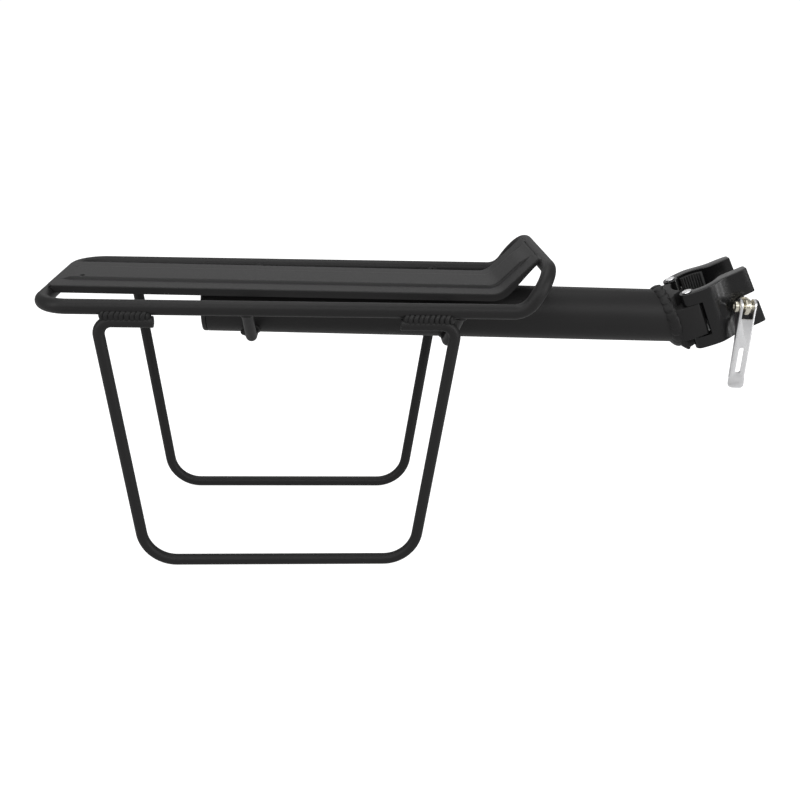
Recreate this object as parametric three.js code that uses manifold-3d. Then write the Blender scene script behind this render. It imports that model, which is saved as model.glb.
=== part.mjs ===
// Bicycle rear rack that clamps to the seatpost with a quick-release lever.
// Millimetres, +Z up. The origin is the centre of the seatpost bore. +X points to the front
// of the bicycle, +Y to the side away from the lever. The deck is level.
import * as THREE from 'three';
import * as BufferGeometryUtils from 'three/addons/utils/BufferGeometryUtils.js';
import Module from 'manifold-3d';

const wasm = await Module();
wasm.setup();

// ---- Driving dimensions ----
const GAP = 0.3;

// luggage rails: one closed loop of round tube
const RAIL_R = 5;
const RAIL_HALF_WIDTH = 62;
const RAIL_Z = 11;
const RAIL_REAR_X = -459.2;
const REAR_CORNER_R = 20;
const FRONT_BEND_X = -141.9;
const FRONT_BEND_R = 15;
const FRONT_BEND_ANGLE = THREE.MathUtils.degToRad(57);
const FRONT_RISE = 30.5;
const FRONT_CORNER_R = 21.5;

// main beam
const BEAM_R = 19;
const BEAM_WALL = 2;
const BEAM_REAR_X = -357.6;
const BEAM_Z_AT_ORIGIN = -7.8;
const BEAM_SLOPE = -0.013;
const CAP_FLANGE = 3.2;
const CAP_PLUG = 14;

// pressed deck plate
const DECK_HALF_WIDTH = 35.2;
const DECK_T = 1.5;
const DECK_SKIRT = 5.05;
const PLATEAU_HALF_WIDTH = 15.9;
const PLATEAU_RISE = 1.5;
const STEP_WIDTH = 2.8;
const DECK_REAR_X = -459;
const DECK_CORNER = 3.5;
const DECK_HOLE_X = -440.8;
const DECK_HOLE_Y = -12;
const DECK_HOLE_R = 1.8;
const DECK_Z_AT_ORIGIN = 14.7;
const DECK_SLOPE = -0.007;
const DECK_BEND_X = -155.6;
const DECK_BEND_R = 14;
const DECK_RAMP_ANGLE = THREE.MathUtils.degToRad(45.5);
const DECK_RAMP = 35.5;

// struts from the rails to the beam
const STRUT_R = 3.9;
const STRUT_DROP = 14.7;
const STRUT_CORNER_Y = 28.5;
const STRUT_CORNER_R = 8;
const STRUTS = [
  { name: 'rear_strut_near', side: -1, railX: -325.4, beamX: -325.4 },
  { name: 'rear_strut_far', side: 1, railX: -325.4, beamX: -325.4 },
  { name: 'front_strut_near', side: -1, railX: -184.4, beamX: -189 },
  { name: 'front_strut_far', side: 1, railX: -194, beamX: -189 },
];

// side frames, one bent rod each
const FRAME_ROD_R = 3.9;
const FRAME_Y = 64;
const FRAME_TOP_Z = 1.9;
const FRAME_BOTTOM_Z = -173.2;
const FRAME_TOP_REAR_X = -421.3;
const FRAME_TOP_FRONT_X = -187.4;
const FRAME_BOTTOM_REAR_X = -399.6;
const FRAME_BOTTOM_FRONT_X = -211.3;
const FRAME_STUB_REAR_END_X = -384.8;
const FRAME_STUB_FRONT_END_X = -224.6;
const FRAME_TOP_BEND_R = 8.5;
const FRAME_BOTTOM_BEND_R = 24;

// clamp, in its own axes: u forward, v away from the lever, w up along the seatpost
const CLAMP_TILT = THREE.MathUtils.degToRad(24.5);
const CLAMP_H = 43;
const BORE_R = 16;
const PAD_BACK_R = 18.9;
const PIN_U = -11;
const PIN_V = 18.5;
const PIN_R = 2.4;
const PIN_HEAD_R = 3.4;
const PIN_HEAD_H = 0.8;
const KNUCKLE_R = 5.5;
const KNUCKLE_HALF_H = 12.2;
const BLOCK_REAR_U = -25;
const BLOCK_CHAMFER = 4.5;
const LUG_FRONT_U = 33.6;
const LUG_LEAN_FROM_U = 22;
const LUG_LEAN_MIDDLE = 1.2;
const LUG_LEAN = 1.6;
const LUG_INNER_V = 12.4;
const LUG_OUTER_V = 20.7;
const JAW_INNER_R = 19.2;
const JAW_EDGE = 1.1;
const SLOT_HALF_H = 4.4;
const SLOT_END_U = 17.5;

// quick release: the bolt turns about a barrel seated in the far jaw, and at rest it leans
// a little from the straight line between the lugs
const BARREL_U = 27.2;
const BARREL_V = 21.5;
const BARREL_R = 4.4;
const BARREL_LENGTH = 17;
const BOLT_W = -1.4;
const WINDOW_FRONT_U = -4.4;
const BOLT_LEAN = THREE.MathUtils.degToRad(5.5);
const BOLT_R = 3;
const BOLT_TIP = 6.2;
const CAM_DISTANCE = 52.3;
const CAM_WASHER_DISTANCE = 45.8;
const CAM_WASHER_R = 5.2;
const CAM_WASHER_T = 1.6;
const EYE_R = 5.6;
const EYE_T = 3.6;
const CAM_PIN_R = 2.1;
const CAM_PIN_HEAD_R = 4;
const CAM_PIN_HEAD_T = 2.6;
const LEVER_WIDTH = 11.2;
const LEVER_T = 1.6;
const EAR_R = 5.8;
const WEB_TOP_Z = -7.4;
const LEVER_CREASE_Z = -53;
const LEVER_TIP_LENGTH = 6.5;
const LEVER_TIP_ANGLE = THREE.MathUtils.degToRad(14);
const LEVER_SLOT_TOP_Z = -28.5;
const LEVER_SLOT_BOTTOM_Z = -47.5;
const LEVER_SLOT_WIDTH = 3.8;

// ---- Materials ----
function finish(color, roughness, metalness) {
  return new THREE.MeshStandardMaterial({ color, roughness, metalness });
}
const powderCoat = finish(0x1d1d1e, 0.55, 0.0);
const glossBlack = finish(0x111112, 0.28, 0.0);
const blackPlastic = finish(0x19191a, 0.5, 0.0);
const rubber = finish(0x0e0e0e, 0.85, 0.0);
const steel = finish(0xc9cacc, 0.3, 1.0);
const brass = finish(0xb9a777, 0.35, 1.0);

// ---- Solids ----
function toSolid(geometry) {
  const bare = geometry.clone();
  bare.deleteAttribute('normal');
  bare.deleteAttribute('uv');
  const merged = BufferGeometryUtils.mergeVertices(bare, 1e-4);
  const vertProperties = new Float32Array(merged.attributes.position.array);
  const triVerts = new Uint32Array(merged.index.array);
  return new wasm.Manifold(new wasm.Mesh({ numProp: 3, vertProperties, triVerts }));
}

function toGeometry(solid) {
  const data = solid.getMesh();
  const geometry = new THREE.BufferGeometry();
  geometry.setAttribute('position', new THREE.BufferAttribute(data.vertProperties, 3));
  geometry.setIndex(new THREE.BufferAttribute(data.triVerts, 1));
  return geometry;
}

function join(...geometries) {
  const [first, ...rest] = geometries.map(toSolid);
  return toGeometry(rest.reduce((sum, solid) => sum.add(solid), first));
}

function cut(geometry, ...tools) {
  return toGeometry(tools.map(toSolid).reduce((left, tool) => left.subtract(tool), toSolid(geometry)));
}

function keep(geometry, tool) {
  return toGeometry(toSolid(geometry).intersect(toSolid(tool)));
}

function mirrorY(geometry) {
  const flipped = geometry.clone().scale(1, -1, 1);
  const index = flipped.index ?? BufferGeometryUtils.mergeVertices(flipped).index;
  const source = index.array.slice();
  for (let i = 0; i < source.length; i += 3) {
    index.array[i] = source[i + 1];
    index.array[i + 1] = source[i];
  }
  return flipped;
}

// the same surface with shared corners, so that it can be mirrored
function welded(geometry) {
  return toGeometry(toSolid(geometry));
}

function part(name, geometry, material) {
  const mesh = new THREE.Mesh(geometry, material);
  mesh.name = name;
  return mesh;
}

// ---- Shape helpers ----
function outline(points) {
  return new THREE.Shape(points.map(([x, y]) => new THREE.Vector2(x, y)));
}

function circle(radius, sides) {
  const step = (2 * Math.PI) / sides;
  return outline(Array.from({ length: sides }, (_, i) => {
    const angle = (i + 0.5) * step;
    return [radius * Math.cos(angle), radius * Math.sin(angle)];
  }));
}

function arcPoints(radius, fromAngle, toAngle, steps, cx = 0, cy = 0) {
  return Array.from({ length: steps + 1 }, (_, i) => {
    const angle = fromAngle + ((toAngle - fromAngle) * i) / steps;
    return [cx + radius * Math.cos(angle), cy + radius * Math.sin(angle)];
  });
}

// prism of a plan outline, centred on w = 0 or standing between two heights
function prism(shape, bottom, top) {
  const geometry = new THREE.ExtrudeGeometry(shape, { depth: top - bottom, bevelEnabled: false });
  return geometry.translate(0, 0, bottom);
}

// prism whose top and bottom edges are rounded off
function roundedPrism(shape, bottom, top, edge) {
  const geometry = new THREE.ExtrudeGeometry(shape, {
    depth: top - bottom - 2 * edge,
    bevelEnabled: true,
    bevelThickness: edge,
    bevelSize: edge,
    bevelOffset: -edge,
    bevelSegments: 2,
  });
  return geometry.translate(0, 0, bottom + edge);
}

function box(x0, x1, y0, y1, z0, z1) {
  const geometry = new THREE.BoxGeometry(x1 - x0, y1 - y0, z1 - z0);
  return geometry.translate((x0 + x1) / 2, (y0 + y1) / 2, (z0 + z1) / 2);
}

// round bar between two points
function bar(from, to, radius, sides) {
  const start = new THREE.Vector3(...from);
  const axis = new THREE.Vector3(...to).sub(start);
  const geometry = new THREE.CylinderGeometry(radius, radius, axis.length(), sides);
  const upright = new THREE.Vector3(0, 1, 0);
  const turn = new THREE.Quaternion().setFromUnitVectors(upright, axis.clone().normalize());
  return geometry.applyQuaternion(turn).translate(...start.addScaledVector(axis, 0.5).toArray());
}

// a route of straight runs and round bends, with a station only where the section must turn
class BentRoute extends THREE.Curve {
  constructor(corners, bendRadii, arcSteps) {
    super();
    this.stations = [];
    this.tangents = [];
    corners.forEach((corner, i) => {
      if (i === 0 || i === corners.length - 1) {
        const towards = i === 0 ? corners[1].clone().sub(corner) : corner.clone().sub(corners[i - 1]);
        this.addStation(corner, towards.normalize());
        return;
      }
      this.addBend(corners[i - 1], corner, corners[i + 1], bendRadii[i - 1], arcSteps);
    });
  }

  addStation(point, tangent) {
    this.stations.push(point.clone());
    this.tangents.push(tangent.clone());
  }

  addBend(before, corner, after, radius, arcSteps) {
    const arriving = corner.clone().sub(before).normalize();
    const leaving = after.clone().sub(corner).normalize();
    const angle = arriving.angleTo(leaving);
    const axis = arriving.clone().cross(leaving).normalize();
    const start = corner.clone().addScaledVector(arriving, -radius * Math.tan(angle / 2));
    const centre = start.clone().addScaledVector(axis.clone().cross(arriving), radius);
    for (let i = 0; i <= arcSteps; i += 1) {
      const turn = (angle * i) / arcSteps;
      const point = start.clone().sub(centre).applyAxisAngle(axis, turn).add(centre);
      this.addStation(point, arriving.clone().applyAxisAngle(axis, turn));
    }
  }

  get steps() {
    return this.stations.length - 1;
  }

  getSpacedPoints() {
    return this.stations;
  }

  getPoint(t) {
    return this.stations[Math.round(t * this.steps)].clone();
  }

  getTangentAt(u) {
    return this.tangents[Math.round(u * this.steps)].clone();
  }
}

function alongRoute(shape, route) {
  return new THREE.ExtrudeGeometry(shape, { steps: route.steps, extrudePath: route, bevelEnabled: false });
}

function bentRod(corners, bendRadii, radius, sides, arcSteps = 6) {
  const points = corners.map((corner) => new THREE.Vector3(...corner));
  return alongRoute(circle(radius, sides), new BentRoute(points, bendRadii, arcSteps));
}

// ---- Heights that follow from the driving dimensions ----
const beamZ = (x) => BEAM_Z_AT_ORIGIN + BEAM_SLOPE * x;
const deckZ = (x) => DECK_Z_AT_ORIGIN + DECK_SLOPE * x;
const FRONT_TUBE_X = FRONT_BEND_X + FRONT_RISE * Math.cos(FRONT_BEND_ANGLE);
const FRONT_TUBE_Z = RAIL_Z + FRONT_RISE * Math.sin(FRONT_BEND_ANGLE);

function beamBar(radius, fromX, toX, sides) {
  return bar([fromX, 0, beamZ(fromX)], [toX, 0, beamZ(toX)], radius, sides);
}

function crossBar(x, z, radius, halfLength, sides) {
  return bar([x, -halfLength, z], [x, halfLength, z], radius, sides);
}

// ---- Rack body ----
function railLoop() {
  const corners = [
    [RAIL_REAR_X, 0, RAIL_Z],
    [RAIL_REAR_X, -RAIL_HALF_WIDTH, RAIL_Z],
    [FRONT_BEND_X, -RAIL_HALF_WIDTH, RAIL_Z],
    [FRONT_TUBE_X, -RAIL_HALF_WIDTH, FRONT_TUBE_Z],
    [FRONT_TUBE_X, 0, FRONT_TUBE_Z],
  ];
  const bends = [REAR_CORNER_R, FRONT_BEND_R, FRONT_CORNER_R];
  const nearHalf = bentRod(corners, bends, RAIL_R, 16, 7);
  return join(nearHalf, mirrorY(welded(nearHalf)));
}

function deckSection() {
  const foot = PLATEAU_HALF_WIDTH + STEP_WIDTH;
  const top = [
    [DECK_HALF_WIDTH, -DECK_SKIRT],
    [DECK_HALF_WIDTH, -1],
    [DECK_HALF_WIDTH - 0.3, -0.3],
    [DECK_HALF_WIDTH - 1, 0],
    [foot, 0],
    [foot - 1.6, 0.35],
    [PLATEAU_HALF_WIDTH, PLATEAU_RISE],
  ];
  const under = [
    [PLATEAU_HALF_WIDTH - 0.6, PLATEAU_RISE - DECK_T],
    [foot - 1.3, -DECK_T + 0.25],
    [foot + 0.2, -DECK_T],
    [DECK_HALF_WIDTH - DECK_T, -DECK_T],
    [DECK_HALF_WIDTH - DECK_T, -DECK_SKIRT],
  ];
  const left = (points) => points.map(([y, z]) => [-y, z]);
  const ring = [...top, ...left(top).reverse(), ...left(under).reverse(), ...under];
  // the section rides on the route's own frame, whose second axis points down
  return outline(ring.map(([y, z]) => [y, -z]));
}

function deckPlate() {
  const bendZ = deckZ(DECK_BEND_X);
  const route = new BentRoute([
    new THREE.Vector3(DECK_REAR_X, 0, deckZ(DECK_REAR_X)),
    new THREE.Vector3(DECK_BEND_X, 0, bendZ),
    new THREE.Vector3(
      DECK_BEND_X + DECK_RAMP * Math.cos(DECK_RAMP_ANGLE),
      0,
      bendZ + DECK_RAMP * Math.sin(DECK_RAMP_ANGLE),
    ),
  ], [DECK_BEND_R], 6);
  const sheet = alongRoute(deckSection(), route);
  const rearTube = crossBar(RAIL_REAR_X, RAIL_Z, RAIL_R + GAP, DECK_HALF_WIDTH + 2, 24);
  const frontTube = crossBar(FRONT_TUBE_X, FRONT_TUBE_Z, RAIL_R + GAP, DECK_HALF_WIDTH + 2, 24);
  const hole = bar([DECK_HOLE_X, DECK_HOLE_Y, 0], [DECK_HOLE_X, DECK_HOLE_Y, 30], DECK_HOLE_R, 16);
  const corners = [-1, 1].map((side) => {
    const chamfer = box(-DECK_CORNER, DECK_CORNER, -DECK_CORNER, DECK_CORNER, 0, 30);
    return chamfer.rotateZ(Math.PI / 4).translate(DECK_REAR_X, side * (DECK_HALF_WIDTH + 1.5), 0);
  });
  return cut(sheet, rearTube, frontTube, hole, ...corners);
}

function beamTube() {
  const tube = cut(
    beamBar(BEAM_R, BEAM_REAR_X, 0, 40),
    beamBar(BEAM_R - BEAM_WALL, BEAM_REAR_X - 20, 20, 32),
  );
  const ahead = box(BLOCK_REAR_U - GAP, 60, -40, 40, -60, 60).rotateY(-CLAMP_TILT);
  return cut(tube, ahead);
}

function beamEndCap() {
  const flangeX = BEAM_REAR_X - GAP;
  return join(
    beamBar(BEAM_R, flangeX - CAP_FLANGE, flangeX, 40),
    beamBar(BEAM_R - BEAM_WALL - GAP, flangeX - 1, flangeX + CAP_PLUG, 32),
  );
}

// ring of weld between the beam and the clamp block
function beamWeld() {
  const bead = cut(
    beamBar(BEAM_R + 1.8, -60, 0, 36),
    beamBar(BEAM_R + GAP, -70, 10, 40),
  );
  const slab = box(BLOCK_REAR_U - GAP - 4.5, BLOCK_REAR_U - GAP, -40, 40, -60, 60).rotateY(-CLAMP_TILT);
  return keep(bead, slab);
}

function railStretch(side, x) {
  const y = side * RAIL_HALF_WIDTH;
  return bar([x - 30, y, RAIL_Z], [x + 30, y, RAIL_Z], RAIL_R + GAP, 24);
}

// rod from a rail, down and in to the lower flank of the beam
function strut({ side, railX, beamX }) {
  const lowZ = beamZ(beamX) - STRUT_DROP;
  const rod = bentRod([
    [railX, side * RAIL_HALF_WIDTH, RAIL_Z],
    [beamX, side * STRUT_CORNER_Y, lowZ],
    [beamX, 0, lowZ],
  ], [STRUT_CORNER_R], STRUT_R, 14, 5);
  const rail = railStretch(side, railX);
  const beam = beamBar(BEAM_R + GAP, beamX - 30, beamX + 30, 40);
  return largestPiece(cut(rod, rail, beam));
}

function largestPiece(geometry) {
  const pieces = toSolid(geometry).decompose();
  return toGeometry(pieces.reduce((best, piece) => (piece.volume() > best.volume() ? piece : best)));
}

function sideFrame(side) {
  const y = side * FRAME_Y;
  return bentRod([
    [FRAME_STUB_REAR_END_X, y, FRAME_TOP_Z],
    [FRAME_TOP_REAR_X, y, FRAME_TOP_Z],
    [FRAME_BOTTOM_REAR_X, y, FRAME_BOTTOM_Z],
    [FRAME_BOTTOM_FRONT_X, y, FRAME_BOTTOM_Z],
    [FRAME_TOP_FRONT_X, y, FRAME_TOP_Z],
    [FRAME_STUB_FRONT_END_X, y, FRAME_TOP_Z],
  ], [FRAME_TOP_BEND_R, FRAME_BOTTOM_BEND_R, FRAME_BOTTOM_BEND_R, FRAME_TOP_BEND_R], FRAME_ROD_R, 14, 6);
}

// weld bead along the outer side of a stub, between rail and rod
function stubWeld(side, fromX, toX) {
  const section = outline([
    ...arcPoints(RAIL_R + GAP, THREE.MathUtils.degToRad(-20), THREE.MathUtils.degToRad(-72), 4,
      RAIL_HALF_WIDTH, RAIL_Z),
    ...arcPoints(FRAME_ROD_R + GAP, THREE.MathUtils.degToRad(75), THREE.MathUtils.degToRad(5), 4,
      FRAME_Y, FRAME_TOP_Z),
    [FRAME_Y + FRAME_ROD_R + 1, FRAME_TOP_Z + 2.2],
    [FRAME_Y + FRAME_ROD_R + 0.9, FRAME_TOP_Z + 4.5],
  ]);
  const bead = new THREE.ExtrudeGeometry(section, { depth: toX - fromX, bevelEnabled: false });
  // the section's x becomes Y and its y becomes Z, and the bead runs along X
  bead.rotateX(Math.PI / 2).rotateZ(Math.PI / 2).translate(fromX, 0, 0);
  return side > 0 ? bead : mirrorY(welded(bead));
}

// ---- Clamp ----
function clampBlock() {
  const half = CLAMP_H / 2;
  const saddle = arcPoints(BORE_R + 0.2, THREE.MathUtils.degToRad(148), THREE.MathUtils.degToRad(212), 8);
  const side = [
    [-13.5, 11], [-16, 12], [-19.2, 13.5], [-20, 16], [-22.8, 16.5], [BLOCK_REAR_U, 13.5],
  ];
  const core = outline([
    ...saddle.slice().reverse(),
    ...side,
    ...side.slice().reverse().map(([u, v]) => [u, -v]),
  ]);
  const front = PIN_U + 5.6;
  const flank = PIN_V + 5.6;
  const corner = 3;
  const knuckleSide = [
    [PIN_U + 1, PIN_V - 5.2],
    [front, PIN_V - 2.9],
    ...arcPoints(corner, 0, Math.PI / 2, 4, front - corner, flank - corner),
    [-20, flank - 1.2], [BLOCK_REAR_U, 19],
  ];
  const middle = outline([
    [-14, 8],
    ...knuckleSide,
    ...knuckleSide.slice().reverse().map(([u, v]) => [u, -v]),
    [-14, -8],
  ]);
  const knuckleRoom = [-1, 1].flatMap((side) => [-1, 1].map((end) => {
    const inner = end * (KNUCKLE_HALF_H - 0.1);
    const outer = end * (half + 1);
    return bar([PIN_U, side * PIN_V, inner], [PIN_U, side * PIN_V, outer], KNUCKLE_R + 0.5, 24);
  }));
  const pinHoles = [-1, 1].map((side) => (
    bar([PIN_U, side * PIN_V, -half], [PIN_U, side * PIN_V, half], PIN_R + GAP, 16)
  ));
  const chamfer = box(-BLOCK_CHAMFER, BLOCK_CHAMFER, -40, 40, -BLOCK_CHAMFER, BLOCK_CHAMFER);
  chamfer.rotateY(Math.PI / 4).translate(BLOCK_REAR_U - 0.9, 0, -half - 0.9);
  const body = cut(prism(core, -half, half), chamfer, ...knuckleRoom);
  const joined = join(body, prism(middle, -KNUCKLE_HALF_H, KNUCKLE_HALF_H));
  return cut(joined, ...pinHoles);
}

function hingePin(side) {
  const half = CLAMP_H / 2;
  const v = side * PIN_V;
  return join(
    bar([PIN_U, v, -half - PIN_HEAD_H], [PIN_U, v, half + GAP + 0.1], PIN_R, 16),
    bar([PIN_U, v, half + GAP], [PIN_U, v, half + GAP + PIN_HEAD_H], PIN_HEAD_R, 20),
  );
}

function jawOutline() {
  const outer = new THREE.SplineCurve([
    [PIN_U - 2, PIN_V + 5.12], [-6, 25.5], [1, 26.2], [7, 24.7], [13, 22.2],
    [18.5, LUG_OUTER_V + 0.1], [24, LUG_OUTER_V], [29, LUG_OUTER_V - 0.4], [LUG_FRONT_U - 1, 19.6],
  ].map(([u, v]) => new THREE.Vector2(u, v))).getPoints(20).map((point) => [point.x, point.y]);
  const bore = arcPoints(JAW_INNER_R, THREE.MathUtils.degToRad(46), THREE.MathUtils.degToRad(108), 9);
  const knuckle = arcPoints(
    KNUCKLE_R, THREE.MathUtils.degToRad(-35), THREE.MathUtils.degToRad(-235), 10, PIN_U, PIN_V,
  );
  return outline([
    ...outer,
    [LUG_FRONT_U, 18.4],
    [LUG_FRONT_U, LUG_INNER_V + 1],
    [LUG_FRONT_U - 1, LUG_INNER_V],
    [19.5, LUG_INNER_V],
    [16, 12.7],
    ...bore,
    ...knuckle,
  ]);
}

// the front end of a lug leans, its foot further forward than its top
function leanLug(geometry) {
  const position = geometry.getAttribute("position");
  for (let i = 0; i < position.count; i += 1) {
    const u = position.getX(i);
    const reach = (u - LUG_LEAN_FROM_U) / (LUG_FRONT_U - LUG_LEAN_FROM_U);
    const lean = LUG_LEAN_MIDDLE - LUG_LEAN * position.getZ(i) / (CLAMP_H / 2);
    position.setX(i, u + THREE.MathUtils.clamp(reach, 0, 1) * lean);
  }
  return geometry;
}

// the far jaw; the near one is its mirror image apart from the barrel seat
function jaw(side) {
  const half = CLAMP_H / 2;
  const window = box(PIN_U - 8, WINDOW_FRONT_U, 5, 40, -KNUCKLE_HALF_H - 0.5, KNUCKLE_HALF_H + 0.5);
  const slotStart = SLOT_END_U + SLOT_HALF_H;
  const slot = join(
    box(slotStart, 60, 0, 40, BOLT_W - SLOT_HALF_H, BOLT_W + SLOT_HALF_H),
    bar([slotStart, 0, BOLT_W], [slotStart, 40, BOLT_W], SLOT_HALF_H, 20),
  );
  const pinHole = bar([PIN_U, PIN_V, -half - 1], [PIN_U, PIN_V, half + 1], PIN_R + GAP, 16);
  const blank = leanLug(roundedPrism(jawOutline(), -half, half, JAW_EDGE));
  const seatHalf = BARREL_LENGTH / 2 + GAP;
  const seat = bar(
    [BARREL_U, BARREL_V, BOLT_W - seatHalf], [BARREL_U, BARREL_V, BOLT_W + seatHalf], BARREL_R + GAP, 24,
  );
  const boss = new THREE.SphereGeometry(1, 14, 8).scale(3.2, 3, 7.5).translate(9.5, 22.4, 0.5);
  const body = side > 0
    ? cut(blank, window, slot, pinHole, seat)
    : cut(join(blank, boss), window, slot, pinHole);
  return side > 0 ? body : mirrorY(body);
}

// rubber liner with ribs along the seatpost
function pad(side) {
  const half = CLAMP_H / 2 - 2;
  const start = THREE.MathUtils.degToRad(51);
  const end = THREE.MathUtils.degToRad(104);
  const ribs = 10;
  const pitch = (end - start) / ribs;
  const face = Array.from({ length: ribs }, (_, i) => {
    const at = start + i * pitch;
    return [
      ...arcPoints(BORE_R, at, at + 0.6 * pitch, 1),
      ...arcPoints(BORE_R + 0.9, at + 0.7 * pitch, at + 0.9 * pitch, 1),
    ];
  }).flat();
  const section = outline([...face, ...arcPoints(PAD_BACK_R, end, start, 10)]);
  const liner = prism(section, -half, half);
  return side > 0 ? liner : mirrorY(welded(liner));
}

// ---- Quick release, in its own axes: Y along the bolt from the barrel, X along the cam pin ----
function boltHole(fromY, toY) {
  return bar([0, fromY, 0], [0, toY, 0], BOLT_R + GAP, 18);
}

function pivotBarrel() {
  const half = BARREL_LENGTH / 2;
  return cut(bar([0, 0, -half], [0, 0, half], BARREL_R, 24), boltHole(-10, 10));
}

function camWasher() {
  const y = -CAM_WASHER_DISTANCE;
  const disc = bar([0, y, 0], [0, y + CAM_WASHER_T, 0], CAM_WASHER_R, 24);
  return cut(disc, boltHole(y - 5, y + 5));
}

function eyeBolt() {
  const shank = bar([0, 2 - CAM_DISTANCE, 0], [0, BOLT_TIP, 0], BOLT_R, 18);
  const eye = bar([-EYE_T / 2, -CAM_DISTANCE, 0], [EYE_T / 2, -CAM_DISTANCE, 0], EYE_R, 24);
  const hole = bar([-EYE_T, -CAM_DISTANCE, 0], [EYE_T, -CAM_DISTANCE, 0], CAM_PIN_R + GAP, 16);
  return cut(join(shank, eye), hole);
}

function camPin() {
  const reach = LEVER_WIDTH / 2 + GAP;
  const along = (fromX, toX, radius, sides) => (
    bar([fromX, -CAM_DISTANCE, 0], [toX, -CAM_DISTANCE, 0], radius, sides)
  );
  return join(
    along(-reach - 0.5, reach + 0.8, CAM_PIN_R, 16),
    along(-reach - CAM_PIN_HEAD_T, -reach, CAM_PIN_HEAD_R, 20),
    along(reach, reach + 0.8, CAM_PIN_R + 0.8, 16),
  );
}

// one ear and the side flange below it, as a plate square to the pin
function leverEar(fromX, toX) {
  const face = -CAM_DISTANCE - EAR_R;
  const flange = outline([
    [-CAM_DISTANCE + EAR_R * 0.94, -2],
    [-CAM_DISTANCE + 1.5, -11],
    [face + LEVER_T + 1.4, -24],
    [face + LEVER_T - 0.2, LEVER_CREASE_Z],
    [face, LEVER_CREASE_Z],
    [face, 0],
    [-CAM_DISTANCE, 0],
  ]);
  const plate = new THREE.ExtrudeGeometry(flange, { depth: toX - fromX, bevelEnabled: false });
  plate.rotateX(Math.PI / 2).rotateZ(Math.PI / 2).translate(fromX, 0, 0);
  return join(plate, bar([fromX, -CAM_DISTANCE, 0], [toX, -CAM_DISTANCE, 0], EAR_R, 28));
}

function leverWeb() {
  const halfWidth = LEVER_WIDTH / 2;
  const face = -CAM_DISTANCE - EAR_R;
  const blade = box(-halfWidth, halfWidth, face, face + LEVER_T, LEVER_CREASE_Z, WEB_TOP_Z);
  const slotHalf = LEVER_SLOT_WIDTH / 2;
  const slotEnd = (z) => bar([0, face - 5, z], [0, face + 8, z], slotHalf, 16);
  const slotTop = LEVER_SLOT_TOP_Z - slotHalf;
  const slotBottom = LEVER_SLOT_BOTTOM_Z + slotHalf;
  const slot = join(
    box(-slotHalf, slotHalf, face - 5, face + 8, slotBottom, slotTop),
    slotEnd(slotTop),
    slotEnd(slotBottom),
  );
  const tip = leverTip(halfWidth);
  tip.rotateX(-LEVER_TIP_ANGLE).translate(0, face + LEVER_T, LEVER_CREASE_Z + 0.4);
  return join(cut(blade, slot), tip);
}

// finger tab with rounded corners, hanging from its own origin
function leverTip(halfWidth) {
  const corner = 3;
  const low = -LEVER_TIP_LENGTH;
  const tab = outline([
    [halfWidth, 0],
    [-halfWidth, 0],
    ...arcPoints(corner, Math.PI, 1.5 * Math.PI, 4, -halfWidth + corner, low + corner),
    ...arcPoints(corner, 1.5 * Math.PI, 2 * Math.PI, 4, halfWidth - corner, low + corner),
  ]);
  const plate = new THREE.ExtrudeGeometry(tab, { depth: LEVER_T, bevelEnabled: false });
  return plate.rotateX(Math.PI / 2);
}

function quickReleaseLever() {
  const halfWidth = LEVER_WIDTH / 2;
  const hole = bar([-20, -CAM_DISTANCE, 0], [20, -CAM_DISTANCE, 0], CAM_PIN_R + GAP, 16);
  return cut(join(
    leverEar(-halfWidth, -halfWidth + LEVER_T),
    leverEar(halfWidth - LEVER_T, halfWidth),
    leverWeb(),
  ), hole);
}

// ---- Assembly ----
const rack = new THREE.Group();
rack.add(
  part('rail_loop', railLoop(), powderCoat),
  part('deck_plate', deckPlate(), powderCoat),
  part('beam_tube', beamTube(), powderCoat),
  part('beam_end_cap', beamEndCap(), blackPlastic),
  part('beam_weld', beamWeld(), powderCoat),
  part('side_frame_near', sideFrame(-1), powderCoat),
  part('side_frame_far', sideFrame(1), powderCoat),
);
STRUTS.forEach((spec) => rack.add(part(spec.name, strut(spec), powderCoat)));

const STUB_WELDS = [
  { end: 'rear', from: FRAME_TOP_REAR_X + 4, to: FRAME_STUB_REAR_END_X },
  { end: 'front', from: FRAME_STUB_FRONT_END_X, to: FRAME_TOP_FRONT_X - 4 },
];
STUB_WELDS.forEach(({ end, from, to }) => {
  rack.add(part(`${end}_stub_weld_near`, stubWeld(-1, from, to), powderCoat));
  rack.add(part(`${end}_stub_weld_far`, stubWeld(1, from, to), powderCoat));
});

const clamp = new THREE.Group();
clamp.rotation.y = -CLAMP_TILT;
clamp.add(
  part('clamp_block', clampBlock(), powderCoat),
  part('hinge_pin_near', hingePin(-1), steel),
  part('hinge_pin_far', hingePin(1), steel),
  part('near_jaw', jaw(-1), glossBlack),
  part('far_jaw', jaw(1), glossBlack),
  part('near_pad', pad(-1), rubber),
  part('far_pad', pad(1), rubber),
);
rack.add(clamp);

const boltAxes = new THREE.Group();
boltAxes.position.set(BARREL_U, BARREL_V, BOLT_W);
boltAxes.rotation.z = -BOLT_LEAN;
boltAxes.add(part('pivot_barrel', pivotBarrel(), steel));
clamp.add(boltAxes);

// the lever hangs plumb, so its group undoes the tilt of the clamp
const leverAxes = new THREE.Group();
leverAxes.rotation.y = CLAMP_TILT;
leverAxes.add(
  part('eye_bolt', eyeBolt(), steel),
  part('cam_pin', camPin(), steel),
  part('cam_washer', camWasher(), brass),
  part('quick_release_lever', quickReleaseLever(), steel),
);
boltAxes.add(leverAxes);

export default rack;
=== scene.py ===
import math

import bmesh
import bpy
from mathutils import Matrix, Vector


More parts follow.
